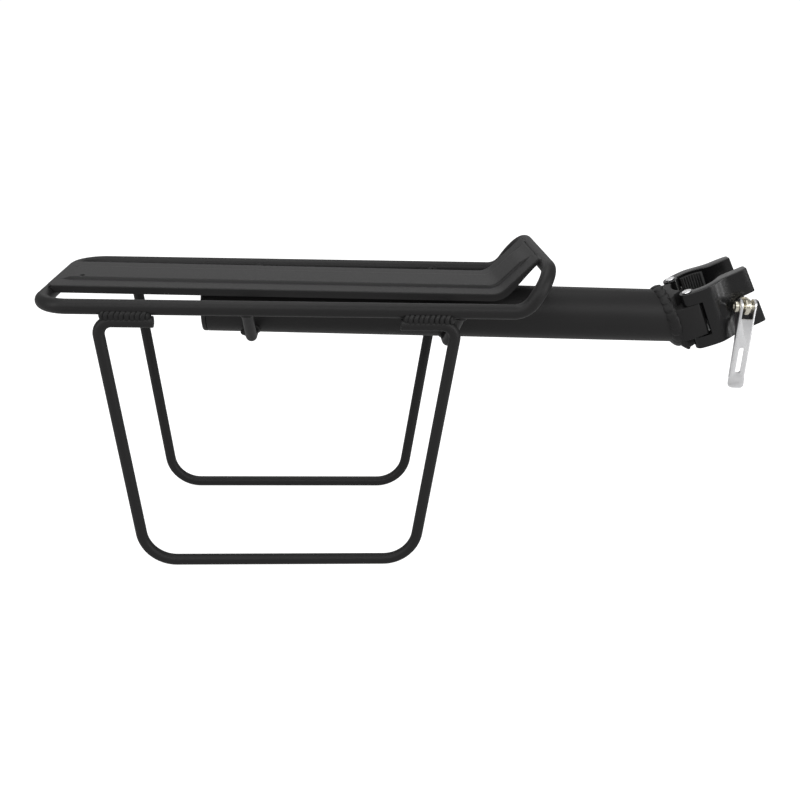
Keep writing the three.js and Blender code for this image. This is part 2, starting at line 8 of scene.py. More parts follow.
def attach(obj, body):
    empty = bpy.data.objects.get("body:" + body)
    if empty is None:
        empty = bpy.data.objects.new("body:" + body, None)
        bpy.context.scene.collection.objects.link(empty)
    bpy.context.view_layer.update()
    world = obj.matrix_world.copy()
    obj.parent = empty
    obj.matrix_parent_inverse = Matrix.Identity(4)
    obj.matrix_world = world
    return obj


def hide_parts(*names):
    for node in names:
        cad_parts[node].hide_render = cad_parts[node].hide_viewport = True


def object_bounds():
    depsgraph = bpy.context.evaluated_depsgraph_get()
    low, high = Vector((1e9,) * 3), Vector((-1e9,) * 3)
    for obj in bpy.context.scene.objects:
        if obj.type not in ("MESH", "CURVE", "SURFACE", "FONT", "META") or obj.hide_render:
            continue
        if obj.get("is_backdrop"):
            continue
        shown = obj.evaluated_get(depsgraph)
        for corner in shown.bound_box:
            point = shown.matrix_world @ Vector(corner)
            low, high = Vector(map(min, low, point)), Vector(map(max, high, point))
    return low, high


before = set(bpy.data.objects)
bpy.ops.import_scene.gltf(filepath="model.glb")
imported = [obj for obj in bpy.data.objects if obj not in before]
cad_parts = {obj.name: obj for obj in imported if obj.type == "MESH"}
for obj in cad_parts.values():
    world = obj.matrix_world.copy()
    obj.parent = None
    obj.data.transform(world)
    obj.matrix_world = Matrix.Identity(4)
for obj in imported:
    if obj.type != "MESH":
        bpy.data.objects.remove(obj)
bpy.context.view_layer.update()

# Bicycle rear rack with a quick-release seatpost clamp. Pieces are drawn in millimetres in the
# row frame (origin in the seatpost bore, +X forward, +Y away from the lever, +Z up) and scaled
# to metres when they are placed.
MM = 0.001

# luggage rails
RAIL_R = 5.0
RAIL_Y = 62.0
RAIL_Z = 11.0
RAIL_REAR_X = -459.2
REAR_CORNER_R = 20.0
FRONT_BEND_X = -141.9
FRONT_BEND_R = 15.0
FRONT_BEND_ANGLE = math.radians(57)
FRONT_RISE = 30.5
FRONT_CORNER_R = 21.5
FRONT_TUBE_X = FRONT_BEND_X + FRONT_RISE * math.cos(FRONT_BEND_ANGLE)
FRONT_TUBE_Z = RAIL_Z + FRONT_RISE * math.sin(FRONT_BEND_ANGLE)

# main beam
BEAM_R = 19.0
BEAM_WALL = 2.0
BEAM_REAR_X = -357.6
BEAM_Z_AT_ORIGIN = -7.8
BEAM_SLOPE = -0.013
CAP_FLANGE = 3.2
CAP_PLUG = 14.0
CAP_GAP = 0.3

# pressed deck plate
DECK_Y = 35.2
DECK_T = 1.5
DECK_SKIRT = 5.05
DECK_RAMP_SKIRT = 2.6
DECK_EDGE_R = 0.8
PLATEAU_Y = 15.9
PLATEAU_RISE = 1.5
PLATEAU_REAR = 5.0
PLATEAU_REAR_SLOPE = 7.0
PLATEAU_FRONT = 2.0
PLATEAU_FRONT_SLOPE = 11.0
STEP_WIDTH = 2.8
DECK_REAR_X = -459.0
DECK_CORNER = 3.5
DECK_HOLE = (-440.8, -12.0)
DECK_HOLE_R = 1.8
DECK_Z_AT_ORIGIN = 14.7
DECK_SLOPE = -0.007
DECK_BEND_X = -155.6
DECK_BEND_R = 14.0
DECK_RAMP_ANGLE = math.radians(45.5)
DECK_RAMP = 35.5

# struts from the rails to the beam: name, side, x at the rail, x at the beam
STRUT_R = 3.9
STRUT_DROP = 14.7
STRUT_CORNER_Y = 28.5
STRUT_CORNER_R = 8.0
STRUTS = (
    ("rear_strut_near", -1, -325.4, -325.4),
    ("rear_strut_far", 1, -325.4, -325.4),
    ("front_strut_near", -1, -184.4, -189.0),
    ("front_strut_far", 1, -194.0, -189.0),
)

# side frames
FRAME_ROD_R = 3.9
FRAME_Y = 64.0
FRAME_TOP_Z = 1.9
FRAME_BOTTOM_Z = -173.2
FRAME_TOP_REAR_X = -421.3
FRAME_TOP_FRONT_X = -187.4
FRAME_BOTTOM_REAR_X = -399.6
FRAME_BOTTOM_FRONT_X = -211.3
STUB_REAR_END_X = -384.8
STUB_FRONT_END_X = -224.6
FRAME_TOP_BEND_R = 8.5
FRAME_BOTTOM_BEND_R = 24.0

# clamp, in its own axes: x forward, y away from the lever, z up along the seatpost
CLAMP_TILT = math.radians(24.5)
CLAMP_HALF_H = 21.5
BORE_R = 16.0
PAD_BACK_R = 18.9
PIN_U = -11.0
PIN_V = 18.5
PIN_R = 2.4
PIN_HEAD_R = 3.4
PIN_HEAD_H = 0.8
KNUCKLE_R = 5.5
KNUCKLE_HALF_H = 12.2
KNUCKLE_REACH = 5.95
KNUCKLE_CORNER = 3.0
KNUCKLE_FLANK_V = PIN_V + 5.6
KNUCKLE_FRONT_U = PIN_U + KNUCKLE_REACH
BLOCK_REAR_U = -25.0
BLOCK_CHAMFER = 4.5
LUG_FRONT_U = 33.6
WINDOW_FRONT_U = -4.4
LUG_INNER_V = 12.4
LUG_OUTER_V = 20.7
JAW_INNER_R = 19.2
JAW_EDGE = 1.1
BOSS_V = 26.8
BOSS_FROM_V = 19.0
BOSS_U = 9.6
BOSS_W = 0.5
BOSS_HALF_W = 2.9
BOSS_HALF_H = 7.4
LUG_LEAN_FROM = 22.0
LUG_LEAN_MID = 1.2
LUG_LEAN = 1.6
SLOT_HALF_H = 4.4
SLOT_END_U = 17.5

# clearance between moving pieces, and a reach that cuts right through one
GAP = 0.3
THROUGH = 40.0

# quick release: y along the bolt from the barrel, x along the cam pin
BARREL = (27.2, 21.5, -1.4)
BARREL_R = 4.4
BARREL_LENGTH = 17.0
BOLT_LEAN = math.radians(5.5)
BOLT_R = 3.0
BOLT_TIP = 6.2
CAM_Y = -52.3
CAM_WASHER_Y = -45.8
CAM_WASHER_R = 5.2
CAM_WASHER_T = 1.6
EYE_R = 5.6
EYE_T = 3.6
CAM_PIN_R = 2.1
CAM_PIN_HEAD_R = 4.0
CAM_PIN_HEAD_T = 2.6
LEVER_HALF_W = 5.6
LEVER_T = 1.6
EAR_R = 5.8
WEB_TOP_Z = -7.4
CREASE_Z = -53.0
TIP_LENGTH = 6.5
TIP_ANGLE = math.radians(14)
LEVER_SLOT_TOP_Z = -28.5
LEVER_SLOT_BOTTOM_Z = -47.5
LEVER_SLOT_HALF_W = 1.9

# weld beads; a size is (half width, half height)
BEAD_PITCH = 3.3
BEAD_SIDES = 36
BEAD_LAG = 0.75
BEAD_RIPPLE = 0.16
BEAD_STEPS = 12
BEAD_SHARP = 60
BEAM_BEAD = (4.2, 2.2)
BEAM_BEAD_PITCH = 6.0
BEAM_BEAD_RIPPLE = 0.24
STUB_BEAD = (3.9, 3.4)
STUB_BEAD_RIPPLE = 0.34
STRUT_TOP_BEAD = (1.5, 1.2)
STRUT_TOP_PITCH = 2.6
STRUT_FOOT_BEAD = (1.0, 0.8)
STRUT_FOOT_PITCH = 3.0
LOBE_BEAD = (2.8, 2.2)
LOBE_PITCH = 3.4
FRONT_TACK = (1.7, 1.4)
REAR_TACK = (1.7, 1.2)
TACK_LENGTH = 12.0
RISE_PART = 0.18
FALL_PART = 0.82

# camera and floor, in metres and radians; lens and sensor are in millimetres
FLOOR_DROP = 0.0003
FLOOR_HALF = 6.0
FLOOR_COLOUR = (0.3, 0.3, 0.3)
CAMERA_AT = (-0.2671, -0.674712, 0.182905)
CAMERA_YAW = 0.0710544329
CAMERA_PITCH = 0.364909268
CAMERA_ROLL = 0.0319667438
CAMERA_LENS = 43.623
CAMERA_SENSOR = 36.0
CAMERA_NEAR = 0.01
CAMERA_FAR = 50

# strength of the backdrop as light and as the camera sees it
WORLD_LIGHT = 0.3
WORLD_SEEN = 1.05
FLOOR_LIGHT = 0.3
FLOOR_SEEN = 1.0

# area lights: name, where, what they face, size in metres, power in watts
RACK_MIDDLE = (-0.25, 0.0, 0.0)
CLAMP_MIDDLE = (0.0, 0.0, 0.0)
LIGHTS = (
    ("top", (-0.45, 0.1, 1.45), RACK_MIDDLE, (1.8, 1.0), 11.5),
    ("back", (-0.2, 2.0, 0.9), RACK_MIDDLE, (2.6, 0.7), 4),
    ("front", (-0.25, -1.5, 1.1), RACK_MIDDLE, (2.2, 0.7), 12),
    ("left_panel", (-1.7, -0.9, 0.7), RACK_MIDDLE, (0.3, 1.3), 9),
    ("right_panel", (0.9, -0.9, 0.6), RACK_MIDDLE, (0.14, 1.2), 7),
    ("clamp_strip", (0.75, -0.42, 0.16), CLAMP_MIDDLE, (0.07, 0.6), 1.2),
)

REST = Matrix.Identity(4)
CLAMP_AXES = Matrix.Rotation(-CLAMP_TILT, 4, "Y")
BOLT_AXES = CLAMP_AXES @ Matrix.Translation(BARREL) @ Matrix.Rotation(-BOLT_LEAN, 4, "Z")
LEVER_AXES = BOLT_AXES @ Matrix.Rotation(CLAMP_TILT, 4, "Y")
MIRROR_Y = Matrix.Scale(-1, 4, (0, 1, 0))


# ---- Meshes ----
def draw(name, vertices, faces):
    mesh = bpy.data.meshes.new(name)
    mesh.from_pydata([tuple(v) for v in vertices], [], faces)
    work = bmesh.new()
    work.from_mesh(mesh)
    bmesh.ops.recalc_face_normals(work, faces=work.faces)
    work.to_mesh(mesh)
    work.free()
    piece = bpy.data.objects.new(name, mesh)
    bpy.context.scene.collection.objects.link(piece)
    return piece


def settle(piece):
    """Turns the piece's modifiers into its own mesh."""
    bpy.context.view_layer.update()
    graph = bpy.context.evaluated_depsgraph_get()
    made = bpy.data.meshes.new_from_object(piece.evaluated_get(graph))
    piece.modifiers.clear()
    old = piece.data
    piece.data = made
    bpy.data.meshes.remove(old)
    return piece


def round_edges(piece, width, segments=3, angle=40):
    bevel = piece.modifiers.new("round", "BEVEL")
    bevel.width = width
    bevel.segments = segments
    bevel.limit_method = "ANGLE"
    bevel.angle_limit = math.radians(angle)
    bevel.use_clamp_overlap = True
    return settle(piece)


def combine(piece, tool, operation):
    boolean = piece.modifiers.new("combine", "BOOLEAN")
    boolean.operation = operation
    boolean.solver = "EXACT"
    boolean.object = tool
    settle(piece)
    bpy.data.objects.remove(tool)
    return piece


def carve(piece, *tools):
    for tool in tools:
        combine(piece, tool, "DIFFERENCE")
    return piece


def fuse(piece, *others):
    for other in others:
        combine(piece, other, "UNION")
    return piece


def place(piece, material, body, nodes=(), axes=REST, sharp=35):
    """Scales the piece to metres, sets it in the row frame and lets it ride on its body."""
    move = Matrix.Scale(MM, 4) @ axes
    piece.data.transform(move)
    if move.determinant() < 0:
        piece.data.flip_normals()
    piece.data.materials.clear()
    piece.data.materials.append(material)
    piece.data.shade_smooth()
    piece.data.set_sharp_from_angle(angle=math.radians(sharp))
    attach(piece, body)
    if nodes:
        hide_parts(*nodes)
    return piece


def spot(a, b, h, axes):
    at = dict(zip(axes, (a, b, h)))
    return (at["x"], at["y"], at["z"])


def prism(name, outline, low, high, axes="xyz", rows=1):
    """A solid of an outline in the first two axes, standing from low to high along the third."""
    count = len(outline)
    vertices = []
    for row in range(rows + 1):
        height = low + (high - low) * row / rows
        vertices += [spot(a, b, height, axes) for a, b in outline]
    faces = [tuple(range(count)), tuple(range(rows * count, (rows + 1) * count))]
    for row in range(rows):
        for i in range(count):
            j = (i + 1) % count
            lower = row * count
            faces.append((lower + i, lower + j, lower + count + j, lower + count + i))
    return draw(name, vertices, faces)


def lathe(name, profile, sides, axis_from, axis_to, closed=False):
    """Turns a profile of (distance along, radius) about the line from one point to another."""
    start = Vector(axis_from)
    along = (Vector(axis_to) - start).normalized()
    side = along.orthogonal().normalized()
    other = along.cross(side)
    vertices = []
    for distance, radius in profile:
        for i in range(sides):
            turn = 2 * math.pi * i / sides
            across = side * math.cos(turn) + other * math.sin(turn)
            vertices.append(start + along * distance + across * radius)
    faces = []
    count = len(profile)
    for row in range(count if closed else count - 1):
        here = row * sides
        there = ((row + 1) % count) * sides
        for i in range(sides):
            j = (i + 1) % sides
            faces.append((here + i, here + j, there + j, there + i))
    if not closed:
        faces.append(tuple(range(sides)))
        faces.append(tuple(range((count - 1) * sides, count * sides)))
    return draw(name, vertices, faces)


def rounded(low, high, radius, edge, steps=4):
    """Lathe profile of a plain bar whose two ends are rounded by edge."""
    profile = []
    for i in range(steps + 1):
        turn = math.pi / 2 * i / steps
        profile.append((low + edge * (1 - math.sin(turn)), radius - edge * (1 - math.cos(turn))))
    profile.reverse()
    for i in range(steps + 1):
        turn = math.pi / 2 * i / steps
        profile.append((high - edge * (1 - math.sin(turn)), radius - edge * (1 - math.cos(turn))))
    return profile


def arc(radius, start, end, steps, cx=0.0, cy=0.0):
    """Points of an arc between two angles in degrees."""
    points = []
    for i in range(steps + 1):
        turn = math.radians(start + (end - start) * i / steps)
        points.append((cx + radius * math.cos(turn), cy + radius * math.sin(turn)))
    return points


def round_box(a0, a1, b0, b1, radius, steps=5):
    """Outline of a rectangle with rounded corners."""
    return (
        arc(radius, 0, 90, steps, a1 - radius, b1 - radius)
        + arc(radius, 90, 180, steps, a0 + radius, b1 - radius)
        + arc(radius, 180, 270, steps, a0 + radius, b0 + radius)
        + arc(radius, 270, 360, steps, a1 - radius, b0 + radius)
    )


def bore(radius, start, end, sides=32):
    """A straight tool for drilling from one point to another."""
    length = (Vector(end) - Vector(start)).length
    return lathe("bore", [(0, radius), (length, radius)], sides, start, end)


def spline(points, steps):
    """Smooth line through the points."""
    last = len(points) - 1
    line = []
    for i in range(steps + 1):
        t = last * i / steps
        base = min(int(t), last - 1)
        w = t - base
        p0, p1, p2, p3 = (points[min(max(base + k, 0), last)] for k in (-1, 0, 1, 2))
        line.append(tuple(catmull_rom(w, p0[k], p1[k], p2[k], p3[k]) for k in (0, 1)))
    return line


def catmull_rom(t, p0, p1, p2, p3):
    v0 = (p2 - p0) * 0.5
    v1 = (p3 - p1) * 0.5
    cubic = (2 * p1 - 2 * p2 + v0 + v1) * t ** 3
    return cubic + (-3 * p1 + 3 * p2 - 2 * v0 - v1) * t ** 2 + v0 * t + p1


def smooth(t):
    """Eases from 0 to 1."""
    t = min(max(t, 0.0), 1.0)
    return t * t * (3 - 2 * t)


# ---- Rods and beads ----
def bent_route(corners, radii, arc_steps=18):
    """Stations (point, direction) of straight runs joined by round bends."""
    points = [Vector(c) for c in corners]
    stations = [(points[0], (points[1] - points[0]).normalized())]
    for before, corner, after, radius in zip(points, points[1:], points[2:], radii):
        arriving = (corner - before).normalized()
        leaving = (after - corner).normalized()
        angle = arriving.angle(leaving)
        axis = arriving.cross(leaving).normalized()
        start = corner - arriving * (radius * math.tan(angle / 2))
        centre = start + axis.cross(arriving) * radius
        for i in range(arc_steps + 1):
            turn = Matrix.Rotation(angle * i / arc_steps, 3, axis)
            stations.append((centre + turn @ (start - centre), turn @ arriving))
    stations.append((points[-1], (points[-1] - points[-2]).normalized()))
    return stations


def sweep(name, stations, section, reference, closed=False):
    """Carries a section of (aside, up) points along the stations; up leans to the reference."""
    reference = Vector(reference)
    vertices = []
    count = 0
    for index, (point, direction) in enumerate(stations):
        up = (reference - direction * reference.dot(direction)).normalized()
        aside = direction.cross(up)
        ring = section(index)
        count = len(ring)
        vertices += [point + aside * a + up * b for a, b in ring]
    total = len(stations)
    faces = []
    for row in range(total if closed else total - 1):
        here = row * count
        there = ((row + 1) % total) * count
        for i in range(count):
            j = (i + 1) % count
            faces.append((here + i, here + j, there + j, there + i))
    if not closed:
        faces.append(tuple(range(count)))
        faces.append(tuple(range((total - 1) * count, total * count)))
    return draw(name, vertices, faces)


def ring_points(radius, sides):
    return arc(radius, 0, 360, sides)[:-1]


def rod(name, stations, radius, reference, sides=40, closed=False):
    ring = ring_points(radius, sides)
    return sweep(name, stations, lambda index: ring, reference, closed)


def fine_line(points, step, closed=False):
    """The same line with points at even steps, as (points, length)."""
    points = [Vector(p) for p in points]
    if closed:
        points.append(points[0])
    lengths = [(b - a).length for a, b in zip(points, points[1:])]
    total = sum(lengths)
    count = max(int(total / step), 4)
    line = []
    leg, gone = 0, 0.0
    for i in range(count if closed else count + 1):
        at = total * i / count
        while leg < len(lengths) - 1 and at > gone + lengths[leg]:
            gone += lengths[leg]
            leg += 1
        t = (at - gone) / lengths[leg]
        line.append(points[leg].lerp(points[leg + 1], min(t, 1.0)))
    return line, total


def bead(name, points, size, outward, pitch=BEAD_PITCH, closed=False, ripple=BEAD_RIPPLE):
    """Weld bead along a line: overlapping round ripples, thinning out at open ends.
    outward gives the direction that the bead faces at a point."""
    width, depth = size
    line, total = fine_line(points, pitch / BEAD_STEPS, closed)
    last = len(line) - 1
    ripples = max(round(total / pitch), 1)
    vertices = []
    for index, point in enumerate(line):
        before = line[index - 1] if index > 0 or closed else point
        after = line[(index + 1) % (last + 1)] if index < last or closed else point
        direction = (after - before).normalized()
        up = Vector(outward(point))
        up = (up - direction * up.dot(direction)).normalized()
        aside = direction.cross(up)
        along = index / (last + 1 if closed else last)
        end = 1.0 if closed else bead_end(along * total, total, width)
        for turn in range(BEAD_SIDES):
            angle = 2 * math.pi * turn / BEAD_SIDES
            lag = BEAD_LAG * (1 - math.sin(angle))
            phase = (along * ripples - lag + wander(index, turn)) % 1.0
            swell = 1 + ripple * (scallop(phase) - 0.6)
            a = math.cos(angle) * width * swell * end
            b = math.sin(angle) * depth * swell * end
            vertices.append(point + aside * a + up * b)
    faces = []
    rows = last + 1 if closed else last
    for row in range(rows):
        here = row * BEAD_SIDES
        there = ((row + 1) % (last + 1)) * BEAD_SIDES
        for i in range(BEAD_SIDES):
            j = (i + 1) % BEAD_SIDES
            faces.append((here + i, here + j, there + j, there + i))
    if not closed:
        faces.append(tuple(range(BEAD_SIDES)))
        faces.append(tuple(range(last * BEAD_SIDES, (last + 1) * BEAD_SIDES)))
    return draw(name, vertices, faces)


def bead_end(at, total, width):
    """How much of its full size an open bead has at that length along it."""
    reach = min(at, total - at)
    return math.sqrt(max(1 - (1 - min(reach / width, 1.0)) ** 2, 0.02))


def scallop(phase):
    """Height across one ripple: a quick rise and a long round fall."""
    if phase < RISE_PART:
        return math.sin(math.pi / 2 * phase / RISE_PART)
    return math.cos(math.pi / 2 * (phase - RISE_PART) / FALL_PART) ** 0.7


def wander(index, turn):
    """Small unevenness in where the ripples fall."""
    return 0.05 * math.sin(index * 0.17 + 1.3) * math.cos(turn * 0.11 + index * 0.03)


def meeting_curve(origin, direction, radius, axis_point, axis, other_radius, steps=48):
    """Where a rod of one radius runs into a tube of another."""
    origin, axis_point = Vector(origin), Vector(axis_point)
    direction, axis = Vector(direction).normalized(), Vector(axis).normalized()
    side = direction.cross(axis).normalized()
    other = direction.cross(side)
    curve = []
    for i in range(steps):
        turn = 2 * math.pi * i / steps
        start = origin + side * (radius * math.cos(turn)) + other * (radius * math.sin(turn))
        offset = start - axis_point
        offset -= axis * offset.dot(axis)
        slope = direction - axis * direction.dot(axis)
        a = slope.dot(slope)
        b = 2 * offset.dot(slope)
        c = offset.dot(offset) - other_radius ** 2
        root = math.sqrt(max(b * b - 4 * a * c, 0.0))
        curve.append(start + direction * ((-b - root) / (2 * a)))
    return curve


def beam_z(x):
    return BEAM_Z_AT_ORIGIN + BEAM_SLOPE * x


def deck_z(x):
    return DECK_Z_AT_ORIGIN + DECK_SLOPE * x


# ---- Materials ----
def shader_of(material):
    return material.node_tree.nodes["Principled BSDF"]


def new_material(name, colour, roughness, metallic=0.0, gloss=0.5, coat=0.0, coat_roughness=0.2):
    material = bpy.data.materials.new(name)
    material.use_nodes = True
    shader = shader_of(material)
    shader.inputs["Base Color"].default_value = (*colour, 1)
    shader.inputs["Roughness"].default_value = roughness
    shader.inputs["Metallic"].default_value = metallic
    shader.inputs["Specular IOR Level"].default_value = gloss
    shader.inputs["Coat Weight"].default_value = coat
    shader.inputs["Coat Roughness"].default_value = coat_roughness
    return material


def noise(material, scale, detail=3.0, stretch=(1, 1, 1)):
    """Noise in the object's own metres; scale is repeats a metre."""
    tree = material.node_tree
    where = tree.nodes.new("ShaderNodeTexCoord")
    mapping = tree.nodes.new("ShaderNodeMapping")
    mapping.inputs["Scale"].default_value = stretch
    texture = tree.nodes.new("ShaderNodeTexNoise")
    texture.inputs["Scale"].default_value = scale
    texture.inputs["Detail"].default_value = detail
    tree.links.new(where.outputs["Object"], mapping.inputs["Vector"])
    tree.links.new(mapping.outputs["Vector"], texture.inputs["Vector"])
    return texture.outputs["Fac"]


def vary_colour(material, one, other, scale, stretch=(1, 1, 1)):
    tree = material.node_tree
    mix = tree.nodes.new("ShaderNodeMix")
    mix.data_type = "RGBA"
    mix.inputs["A"].default_value = (*one, 1)
    mix.inputs["B"].default_value = (*other, 1)
    tree.links.new(noise(material, scale, 4.0, stretch), mix.inputs["Factor"])
    tree.links.new(mix.outputs["Result"], shader_of(material).inputs["Base Color"])


def vary_roughness(material, low, high, scale, stretch=(1, 1, 1)):
    tree = material.node_tree
    spread = tree.nodes.new("ShaderNodeMapRange")
    spread.inputs["From Min"].default_value = 0.3
    spread.inputs["From Max"].default_value = 0.7
    spread.inputs["To Min"].default_value = low
    spread.inputs["To Max"].default_value = high
    tree.links.new(noise(material, scale, 3.0, stretch), spread.inputs["Value"])
    tree.links.new(spread.outputs["Result"], shader_of(material).inputs["Roughness"])


def grain(material, scale, height, stretch=(1, 1, 1), detail=2.0):
    """Surface texture of that height in metres."""
    tree = material.node_tree
    bump = tree.nodes.new("ShaderNodeBump")
    bump.inputs["Strength"].default_value = 1.0
    bump.inputs["Distance"].default_value = height
    tree.links.new(noise(material, scale, detail, stretch), bump.inputs["Height"])
    tree.links.new(bump.outputs["Normal"], shader_of(material).inputs["Normal"])


def powder_coat():
    """Satin black powder coat with its fine orange peel."""
    material = new_material("powder_coat", (0.011, 0.011, 0.0113), 0.48, gloss=0.22)
    vary_colour(material, (0.0115, 0.0112, 0.0114), (0.0135, 0.0132, 0.0134), 900)
    vary_roughness(material, 0.46, 0.52, 900)
    grain(material, 1900, 0.000008)
    return material


def gloss_black():
    """Smooth glossy coat on the cast jaws."""
    material = new_material("gloss_black", (0.006, 0.006, 0.0062), 0.24, gloss=0.26, coat=0.12)
    vary_colour(material, (0.004, 0.004, 0.0042), (0.0065, 0.0065, 0.0068), 90)
    vary_roughness(material, 0.2, 0.28, 300)
    grain(material, 900, 0.000003)
    return material


def black_plastic():
    material = new_material("black_plastic", (0.012, 0.012, 0.012), 0.55, gloss=0.3)
    vary_colour(material, (0.010, 0.010, 0.010), (0.014, 0.014, 0.014), 120)
    vary_roughness(material, 0.5, 0.62, 500)
    grain(material, 2600, 0.000012)
    return material


def rubber():
    material = new_material("rubber", (0.022, 0.022, 0.022), 0.6, gloss=0.3)
    vary_colour(material, (0.019, 0.019, 0.019), (0.026, 0.026, 0.026), 200)
    vary_roughness(material, 0.62, 0.8, 600)
    grain(material, 3000, 0.000015)
    return material


def bright_steel():
    """Zinc-plated steel with fine drawn lines."""
    material = new_material("bright_steel", (0.86, 0.86, 0.87), 0.3, metallic=1.0)
    vary_colour(material, (0.82, 0.82, 0.83), (0.9, 0.9, 0.91), 400, (1, 1, 0.3))
    vary_roughness(material, 0.26, 0.36, 700, (1, 1, 0.3))
    grain(material, 3000, 0.000004, (1, 1, 0.12))
    return material


def warm_steel():
    """Yellow-passivated steel of the eye and the cam pin."""
    material = new_material("warm_steel", (0.7, 0.66, 0.55), 0.28, metallic=1.0)
    vary_colour(material, (0.62, 0.58, 0.47), (0.76, 0.73, 0.63), 220)
    vary_roughness(material, 0.2, 0.36, 500)
    grain(material, 2500, 0.00001)
    return material


POWDER = powder_coat()
GLOSS = gloss_black()
PLASTIC = black_plastic()
RUBBER = rubber()
STEEL = bright_steel()
WARM = warm_steel()


def on_rack(piece, *nodes, sharp=35):
    return place(piece, POWDER, "rack", nodes, sharp=sharp)


def weld(piece, *nodes):
    return on_rack(piece, *nodes, sharp=BEAD_SHARP)


# ---- Rack ----
def rail_loop():
    corners = (
        (RAIL_REAR_X, 0, RAIL_Z),
        (RAIL_REAR_X, -RAIL_Y, RAIL_Z),
        (FRONT_BEND_X, -RAIL_Y, RAIL_Z),
        (FRONT_TUBE_X, -RAIL_Y, FRONT_TUBE_Z),
        (FRONT_TUBE_X, RAIL_Y, FRONT_TUBE_Z),
        (FRONT_BEND_X, RAIL_Y, RAIL_Z),
        (RAIL_REAR_X, RAIL_Y, RAIL_Z),
        (RAIL_REAR_X, 0, RAIL_Z),
    )
    bends = (
        REAR_CORNER_R, FRONT_BEND_R, FRONT_CORNER_R, FRONT_CORNER_R, FRONT_BEND_R, REAR_CORNER_R,
    )
    stations = bent_route(corners, bends)[:-1]
    on_rack(rod("rails", stations, RAIL_R, (0, 0, 1), closed=True), "rail_loop")


def deck_section(rise, skirt):
    """Outer face of the plate from the far skirt to the near one."""
    foot = PLATEAU_Y + STEP_WIDTH
    corner = arc(DECK_EDGE_R, 0, 90, 5, DECK_Y - DECK_EDGE_R, -DECK_EDGE_R)
    strip = [(foot + (DECK_Y - DECK_EDGE_R - foot) * k / 4, 0.0) for k in (3, 2, 1)]
    step = []
    for i in range(9):
        t = i / 8
        dip = -0.35 * math.sin(math.pi * min(t / 0.45, 1.0)) * rise / PLATEAU_RISE
        step.append((foot - STEP_WIDTH * t, rise * smooth((t - 0.2) / 0.8) + dip))
    top = [(PLATEAU_Y * k / 6, rise) for k in range(5, 0, -1)]
    half = [(DECK_Y, -skirt), (DECK_Y, -(skirt + DECK_EDGE_R) / 2)] + corner + strip + step + top
    return half + [(0.0, rise)] + [(-y, z) for y, z in reversed(half)]


def deck_stations():
    ramp_end = (
        DECK_BEND_X + DECK_RAMP * math.cos(DECK_RAMP_ANGLE),
        0,
        deck_z(DECK_BEND_X) + DECK_RAMP * math.sin(DECK_RAMP_ANGLE),
    )
    rear = (DECK_REAR_X, 0, deck_z(DECK_REAR_X))
    bend = (DECK_BEND_X, 0, deck_z(DECK_BEND_X))
    route = bent_route((rear, bend, ramp_end), (DECK_BEND_R,), 14)
    stations = []
    for (point, direction), (after, _) in zip(route, route[1:]):
        parts = max(round((after - point).length / 2.0), 1)
        stations += [(point.lerp(after, k / parts), direction) for k in range(parts)]
    stations.append(route[-1])
    return stations


def deck_skin():
    """Outer face of the whole plate, as (vertices, faces)."""
    stations = deck_stations()
    lengths = [0.0]
    for (point, _), (after, _) in zip(stations, stations[1:]):
        lengths.append(lengths[-1] + (after - point).length)
    total = lengths[-1]
    vertices = []
    count = 0
    for (point, direction), at in zip(stations, lengths):
        up = Vector((-direction.z, 0, direction.x))
        rise = PLATEAU_RISE * smooth((at - PLATEAU_REAR) / PLATEAU_REAR_SLOPE)
        rise *= smooth((total - PLATEAU_FRONT - at) / PLATEAU_FRONT_SLOPE)
        on_ramp = smooth((at - (total - DECK_RAMP)) / DECK_RAMP)
        skirt = DECK_SKIRT + (DECK_RAMP_SKIRT - DECK_SKIRT) * on_ramp
        ring = deck_section(max(rise, 0.001), skirt)
        count = len(ring)
        for y, z in ring:
            cut = max(abs(y) - (DECK_Y - DECK_CORNER), 0.0) * max(1 - at / 12, 0.0)
            vertices.append(point + direction * cut + Vector((0, y, 0)) + up * z)
    faces = []
    for row in range(len(stations) - 1):
        for i in range(count - 1):
            here = row * count + i
            faces.append((here, here + 1, here + count + 1, here + count))
    return vertices, faces


def deck_plate():
    vertices, faces = deck_skin()
    mesh = bpy.data.meshes.new("deck")
    mesh.from_pydata([tuple(v) for v in vertices], [], faces)
    plate = bpy.data.objects.new("deck", mesh)
    bpy.context.scene.collection.objects.link(plate)
    thicken = plate.modifiers.new("thicken", "SOLIDIFY")
    thicken.thickness = DECK_T
    thicken.offset = -1
    thicken.use_even_offset = True
    if mesh.polygons[0].normal.y < 0:
        mesh.flip_normals()
    settle(plate)
    x, y = DECK_HOLE
    carve(plate, bore(DECK_HOLE_R, (x, y, 0), (x, y, 30)))
    round_edges(plate, 0.3, 2, 50)
    on_rack(plate, "deck_plate")


def beam_tube():
    start = (BEAM_REAR_X, 0, beam_z(BEAM_REAR_X))
    end = (0, 0, beam_z(0))
    length = (Vector(end) - Vector(start)).length
    inner = BEAM_R - BEAM_WALL
    profile = [(0.5, BEAM_R), (length, BEAM_R), (length, inner), (0.3, inner), (0, inner + 0.3)]
    profile += [(0, BEAM_R - 0.5), (0.15, BEAM_R - 0.15)]
    tube = lathe("beam", profile, 96, start, end, closed=True)
    ahead = prism("ahead", round_box(BLOCK_REAR_U + 1, 60, -40, 40, 1), -60, 60)
    ahead.data.transform(CLAMP_AXES)
    on_rack(carve(tube, ahead), "beam_tube")


